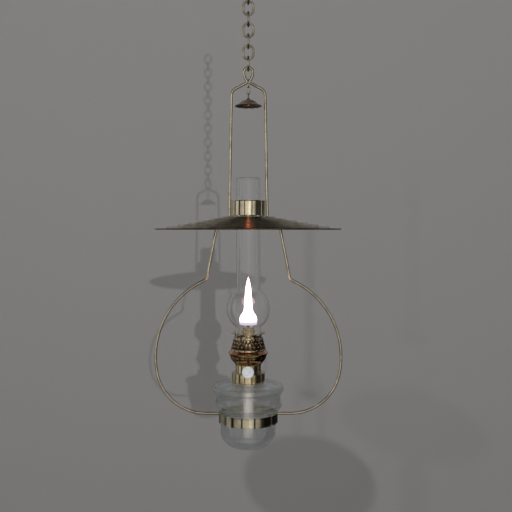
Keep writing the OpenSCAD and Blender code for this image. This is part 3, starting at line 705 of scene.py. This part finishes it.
class LAMP_OT_shade(bpy.types.Operator):
    """Spins the stepped shade and the polished chimney collar"""

    bl_idname = "lamp.shade"
    bl_label = "Shade"

    def execute(self, context):
        sheet = context.scene.lamp_sizes.shade_sheet / MM
        rim, high, low = reach("shade"), top("shade"), foot("shade")
        # Rim bead, edge of the flat top, where the turned part meets it, and the collar's hole
        bead, flat, seam, inner = 1.0, 44.5, 36, 27.25
        # Terraces of the slope, their drop and half the run of each drop
        steps, drop, run = 6, 2.7, 0.8
        # The frame's legs pass through here
        leg, leg_hole = 30.74, 3.3
        fall = high - low - 2 * bead
        wide = rim - 2 * bead - flat
        line = [(seam, high), (flat - run, high)]
        for i in range(steps):
            near, far = flat + wide * i / steps, flat + wide * (i + 1) / steps
            line.append((near + run, high - fall * i / steps - drop))
            line.append((far - run, high - fall * (i + 1) / steps))
        line.append((rim - 1.6 * bead, high - fall - 0.5))
        bm = bmesh.new()
        turn(bm, sheet_of(rounded(line, 1.5, 4), sheet), 192, closed=False)
        punched_plate(bm, [(0, seam, 192), (0, inner, 96), (leg, leg_hole, 32), (-leg, leg_hole, 32)],
                      high, sheet)
        finish_mesh(bm, "shade_disc", "shade", material_of("shade"), ["shade"], 60)
        # The rolled rim takes the dull brown brass, painted shade that dims its bead
        bm = bmesh.new()
        turn(bm, arc(rim - bead, low + bead, bead, 0, 342, 19), 192)
        finish_mesh(bm, "shade_rim_bead", "shade", material_of("dark"))
        dressed_copy("chimney_collar", "collar_band", "shade", material_of("ring"), 30)
        return {"FINISHED"}


class LAMP_OT_chimney(bpy.types.Operator):
    """Blows the chimney glass"""

    bl_idname = "lamp.chimney"
    bl_label = "Chimney"

    def execute(self, context):
        wall = context.scene.lamp_sizes.chimney_wall / MM
        ball = reach("chimney")
        high, low = top("chimney"), foot("chimney")
        tube, base, ball_up = 19.2, 20.4, 56
        centre = low + ball_up
        up_fillet, low_fillet = 6, 5
        up = math.sqrt((ball + up_fillet) ** 2 - (tube + up_fillet) ** 2)
        down = math.sqrt((ball + low_fillet) ** 2 - (base + low_fillet) ** 2)
        up_a = math.degrees(math.atan2(up, tube + up_fillet))
        down_a = math.degrees(math.atan2(down, base + low_fillet))
        # Rounded edges of the glass, and where its even wall begins
        edge, even = 0.5, 1.2
        outline = [(tube, high - edge), (tube, high - even)]
        outline += [(tube, high - (high - centre - up) * i / 12) for i in range(1, 12)]
        outline += arc(tube + up_fillet, centre + up, up_fillet, 180, 180 + up_a, 6)
        outline += arc(0, centre, ball, up_a, -down_a, 28)[1:-1]
        outline += arc(base + low_fillet, centre - down, low_fillet, 180 - down_a, 180, 6)
        outline += [(base, low + even), (base, low + edge)]
        inner = inside_of(outline, wall)
        lip = [(tube - wall * 0.5, high)]
        heel = [(base - wall * 0.5, low)]
        bm = bmesh.new()
        turn(bm, outline + heel + inner[::-1] + lip, 96)
        finish_mesh(bm, "chimney_glass", "chimney", material_of("chimney"),
                    ["chimney"], 75)
        return {"FINISHED"}


class LAMP_OT_burner(bpy.types.Operator):
    """Makes the burner: base, bowl, pierced basket, gallery, tubes and spreader"""

    bl_idname = "lamp.burner"
    bl_label = "Burner"

    def execute(self, context):
        for node, name, key, slot in (
            ("burner_base", "burner_neck", "burner", "burner brass"),
            ("chimney_gallery", "gallery_prongs", "burner", "burner brass"),
            ("wick_tube", "wick_tube_outer", "burner", "burner brass"),
            ("draught_tube", "wick_tube_inner", "dark", "dark brass"),
            ("flame_spreader", "spreader_disc", "dark", "dark brass"),
            ("shaft_bush", "shaft_bush_turned", "burner", "burner brass"),
        ):
            dressed_copy(node, name, "burner", material_of(key), 25)
        self.bowl()
        self.basket()
        return {"FINISHED"}

    def bowl(self):
        """The turned bowl, and the slope of its flange in orange brass, a painted reflection of the
        flame
        """
        sheet, neck, flange, slope = 0.8, 21.0, 32.2, 4.6
        low, high = foot("burner_bowl"), top("burner_bowl") - slope
        tall, wide = high - low, 29.4
        outer = [
            (neck, low), (neck + 0.5, low + 1.5), (wide - 5.8, low + tall * 0.2),
            (wide - 2.6, low + tall * 0.37), (wide - 0.7, low + tall * 0.58),
            (wide, low + tall * 0.78), (flange - 0.8, high - 0.9), (flange, high),
        ]
        inner = [
            (flange - 1.4, high + 0.3), (wide - 2, high - 1.4), (wide - sheet, low + tall * 0.78),
            (wide - 0.8 - sheet, low + tall * 0.6), (wide - 2.8 - sheet, low + tall * 0.4),
            (wide - 6.2 - sheet, low + tall * 0.24), (neck - sheet, low + 1.8), (neck - sheet, low),
        ]
        bm = bmesh.new()
        turn(bm, rounded(outer, 3.0, 5) + inner, 128)
        finish_mesh(bm, "burner_bowl_turned", "burner", material_of("bowl"),
                    ["burner_bowl"], 50)
        # The flange's slope is tinted orange as a painted reflection of the flame
        base = reach("air_basket") - 0.4
        bm = bmesh.new()
        turn(bm, rounded([
            (flange - 1.4, high + 0.3), (flange, high), (flange - 0.3, high + 0.7),
            (base, high + slope), (base - 1.2, high + slope), (base - 1.2, high + slope - 1.4),
            (flange - 1.8, high + 0.3),
        ], 0.3), 128)
        finish_mesh(bm, "burner_flange_painted_glint", "burner", material_of("flame_glint"),
                    sharp=50)

    def basket(self):
        """The pierced cone, with a boss embossed between its air holes"""
        cells, rows, steps, hole, boss, boss_out, boss_edge = 24, 3, 4, 2.0, 1.3, 0.1, 0.04
        foot_rim, top_rim, rim_h, rim_out, rim_r, sheet = 1.4, 1.6, 1.9, 0.8, 0.7, 0.6
        low, high = foot("air_basket") + foot_rim, top("air_basket") - top_rim
        wide, slim = reach("air_basket") - rim_out, 22.9

        def place(u, v, out=0.0):
            """The point that lies u cells round and a share v of the way up the cone"""
            a = 2 * math.pi * u / cells
            r = wide + (slim - wide) * v + out
            return Vector((r * math.cos(a), r * math.sin(a), low + (high - low) * v)) * MM

        across, up = 2 * math.pi * (wide + slim) / 2 / cells, (high - low) / rows
        side = [i / steps - 0.5 for i in range(steps)]
        edge = [(t, -0.5) for t in side] + [(0.5, t) for t in side]
        edge += [(-x, -y) for x, y in edge]
        bm = bmesh.new()
        for row in range(rows):
            for cell in range(cells):
                u, v = cell + row / 2, (row + 0.5) / rows
                loops = []
                for x, y in edge:
                    a = math.atan2(y * up, x * across)
                    loops.append((
                        bm.verts.new(place(u + x, v + y / rows)),
                        bm.verts.new(place(u + hole * math.cos(a) / across,
                                           v + hole * math.sin(a) / up / rows))))
                for one, two in zip(loops, loops[1:] + loops[:1]):
                    bm.faces.new((one[0], two[0], two[1], one[1]))
        bmesh.ops.remove_doubles(bm, verts=bm.verts, dist=1e-5)
        bmesh.ops.recalc_face_normals(bm, faces=bm.faces)
        bmesh.ops.solidify(bm, geom=bm.faces[:], thickness=sheet * MM)
        # The lattice takes the darker brass, painted shade between the bosses
        finish_mesh(bm, "air_basket_pierced", "burner", material_of("pierced"),
                    ["air_basket"], 50, outward=False)
        bm = bmesh.new()
        for row in range(rows + 1):
            for cell in range(cells):
                v = min(max(row / rows, boss_edge), 1 - boss_edge)
                dot = bmesh.ops.create_uvsphere(bm, u_segments=10, v_segments=6, radius=boss * MM)
                bmesh.ops.translate(bm, verts=dot["verts"], vec=place(cell + row / 2, v, boss_out))
        for z, r in ((low - foot_rim, wide + rim_out), (high + top_rim - rim_h, slim + rim_out)):
            rim = arc(r - rim_r, z + rim_h - rim_r, rim_r, 90, 0, 3)
            rim += arc(r - rim_r, z + rim_r, rim_r, 0, -90, 3)
            back = r - rim_r - rim_out
            turn(bm, [(back, z + rim_h)] + rim + [(back, z)], 96)
        # The bosses take the brighter brass, a painted highlight
        finish_mesh(bm, "air_basket_bosses", "burner", material_of("boss"),
                    sharp=50, outward=False)


class LAMP_OT_knob(bpy.types.Operator):
    """Makes the wick knob with its shaft and wheels"""

    bl_idname = "lamp.knob"
    bl_label = "Wick knob"

    def execute(self, context):
        for node, name, key, slot in (
            ("wick_shaft", "knob_shaft", "burner", "burner brass"),
            ("spur_wheels", "wick_wheels", "dark", "dark brass"),
            ("wick_knob", "knob_button", "knob", "white knob"),
        ):
            dressed_copy(node, name, "knob", material_of(key), 40)
        return {"FINISHED"}


class LAMP_OT_wick(bpy.types.Operator):
    """Makes the cotton wick"""

    bl_idname = "lamp.wick"
    bl_label = "Wick"

    def execute(self, context):
        dressed_copy("wick", "wick_cotton", "wick", material_of("wick"), 40)
        return {"FINISHED"}


class LAMP_OT_flame(bpy.types.Operator):
    """Lights the flame that stands on the spreader"""

    bl_idname = "lamp.flame"
    bl_label = "Flame"

    def execute(self, context):
        sizes = context.scene.lamp_sizes
        # The flame's foot hangs round the spreader, and its outline stretches with its height
        low = top("flame_spreader") - 4.2
        drawn_height = 76.5
        stretch = sizes.flame_height / MM / drawn_height
        outline = [
            (0.05, 0.6), (13.8, 0), (14.4, 0.8), (14.0, 9), (12.8, 13.5), (9.6, 18), (7.2, 22.5),
            (6.4, 29), (5.9, 39), (5.2, 49), (4.2, 59), (2.9, 67), (1.4, 72.5), (0.05, drawn_height),
        ]
        line = [(r, low + z * stretch) for r, z in outline]
        bm = bmesh.new()
        turn(bm, rounded(line, 1.2), 48, closed=False)
        flame = burning_gas(low, sizes.flame_height, sizes.flame_glow)
        finish_mesh(bm, "flame", "burner", flame)
        return {"FINISHED"}


class LAMP_OT_font(bpy.types.Operator):
    """Blows the font and caps it with its brass collar"""

    bl_idname = "lamp.font"
    bl_label = "Font"

    def execute(self, context):
        dressed_copy("font", "font_glass", "font", material_of("font"), 60)
        dressed_copy("font_collar", "font_cap", "font", material_of("burner"), 30)
        dressed_copy("collar_cement", "cap_plaster", "font", material_of("plaster"), 30)
        return {"FINISHED"}


class LAMP_OT_stage(bpy.types.Operator):
    """Sets the wall, the floor, the lights and the camera"""

    bl_idname = "lamp.stage"
    bl_label = "Stage"

    def execute(self, context):
        scene = context.scene
        sizes, colours = scene.lamp_sizes, scene.lamp_colours
        # The viewer's eye: its height, its distance and how far it stands to the right
        level, distance, aside = -0.5848, 1.2, 0.0125
        floor_z, half_board = -1.75, 5.0

        def board(name, material, vec, spin=None):
            """A square board of the set, 10 m wide"""
            bm = bmesh.new()
            bmesh.ops.create_grid(bm, x_segments=1, y_segments=1, size=half_board)
            if spin:
                bmesh.ops.rotate(bm, verts=bm.verts, cent=(0, 0, 0), matrix=spin)
            bmesh.ops.translate(bm, verts=bm.verts, vec=vec)
            mesh = bpy.data.meshes.new(name)
            bm.to_mesh(mesh)
            bm.free()
            mesh.materials.append(material)
            panel = bpy.data.objects.new(name, mesh)
            scene.collection.objects.link(panel)

        upright = Matrix.Rotation(math.pi / 2, 3, "X")
        board("wall", wall_paint("matt emulsion, wall", colours.wall),
              (0, sizes.wall_distance, floor_z + half_board), upright)
        board("floor", wall_paint("matt emulsion, floor", linear("#c9c7c4")),
              (0, sizes.wall_distance - half_board, floor_z))

        def lamp(name, place, size, watts):
            """A small square lamp of the studio, aimed level with the viewer's eye"""
            light = bpy.data.lights.new(name, "AREA")
            light.shape = "SQUARE"
            light.size = size
            light.energy = watts
            piece = bpy.data.objects.new(name, light)
            piece.location = place
            aimed = Vector((0, 0, level)) - Vector(place)
            piece.rotation_euler = aimed.to_track_quat("-Z", "Y").to_euler()
            # The brass mirrors the soft panels of the room, not the small lamps
            piece.visible_glossy = False
            scene.collection.objects.link(piece)

        # Each throws one of the lamp's three shadows on the wall
        lamp("right", (0.775, -6.1, level + 0.905), 0.04, 118)
        lamp("upper left", (-0.55, -3.3, level + 2.4), 0.08, 54)
        lamp("far left", (-1.4, -3.0, level + 1.7), 0.10, 14)
        scene.world = studio_air()
        scene.view_settings.view_transform = "Standard"

        camera = bpy.data.cameras.new("camera")
        camera.sensor_width = 36
        # The picture is 38 degrees wide
        camera.lens = 52.08
        # The horizon lies 26 of 512 pixels above the middle of the picture
        camera.shift_y = -26 / 512
        camera.clip_start = 0.05
        camera.clip_end = 20
        eye = bpy.data.objects.new("camera", camera)
        eye.location = (aside, -distance, level)
        eye.rotation_euler = (math.pi / 2, 0, 0)
        scene.collection.objects.link(eye)
        scene.camera = eye
        return {"FINISHED"}


class LAMP_PT_panel(bpy.types.Panel):
    """Lists the pieces, the sizes and the colours"""

    bl_idname = "LAMP_PT_panel"
    bl_label = "Hanging oil lamp"
    bl_space_type = "VIEW_3D"
    bl_region_type = "UI"
    bl_category = "Oil Lamp"

    def draw(self, context):
        for group in (context.scene.lamp_sizes, context.scene.lamp_colours):
            box = self.layout.box()
            for key in group.bl_rna.properties.keys():
                if key not in ("rna_type", "name"):
                    box.prop(group, key)
        for maker in PIECES:
            self.layout.operator(maker.bl_idname)


PIECES = (
    LAMP_OT_chain, LAMP_OT_frame, LAMP_OT_bell, LAMP_OT_shade, LAMP_OT_chimney, LAMP_OT_burner,
    LAMP_OT_knob, LAMP_OT_wick, LAMP_OT_flame, LAMP_OT_font, LAMP_OT_stage,
)
CLASSES = (LampSizes, LampColours, *PIECES, LAMP_PT_panel)


def register():
    """Registers the classes and hangs the settings on the scene."""
    for kind in CLASSES:
        bpy.utils.register_class(kind)
    bpy.types.Scene.lamp_sizes = bpy.props.PointerProperty(type=LampSizes)
    bpy.types.Scene.lamp_colours = bpy.props.PointerProperty(type=LampColours)


def unregister():
    """Takes the settings and the classes away again."""
    del bpy.types.Scene.lamp_colours
    del bpy.types.Scene.lamp_sizes
    for kind in reversed(CLASSES):
        bpy.utils.unregister_class(kind)


def main():
    """Builds the lamp and its stage."""
    register()
    bpy.ops.lamp.chain()
    bpy.ops.lamp.frame()
    bpy.ops.lamp.bell()
    bpy.ops.lamp.shade()
    bpy.ops.lamp.chimney()
    bpy.ops.lamp.burner()
    bpy.ops.lamp.knob()
    bpy.ops.lamp.wick()
    bpy.ops.lamp.flame()
    bpy.ops.lamp.font()
    bpy.ops.lamp.stage()
    bpy.context.view_layer.update()


if __name__ == "__main__":
    main()
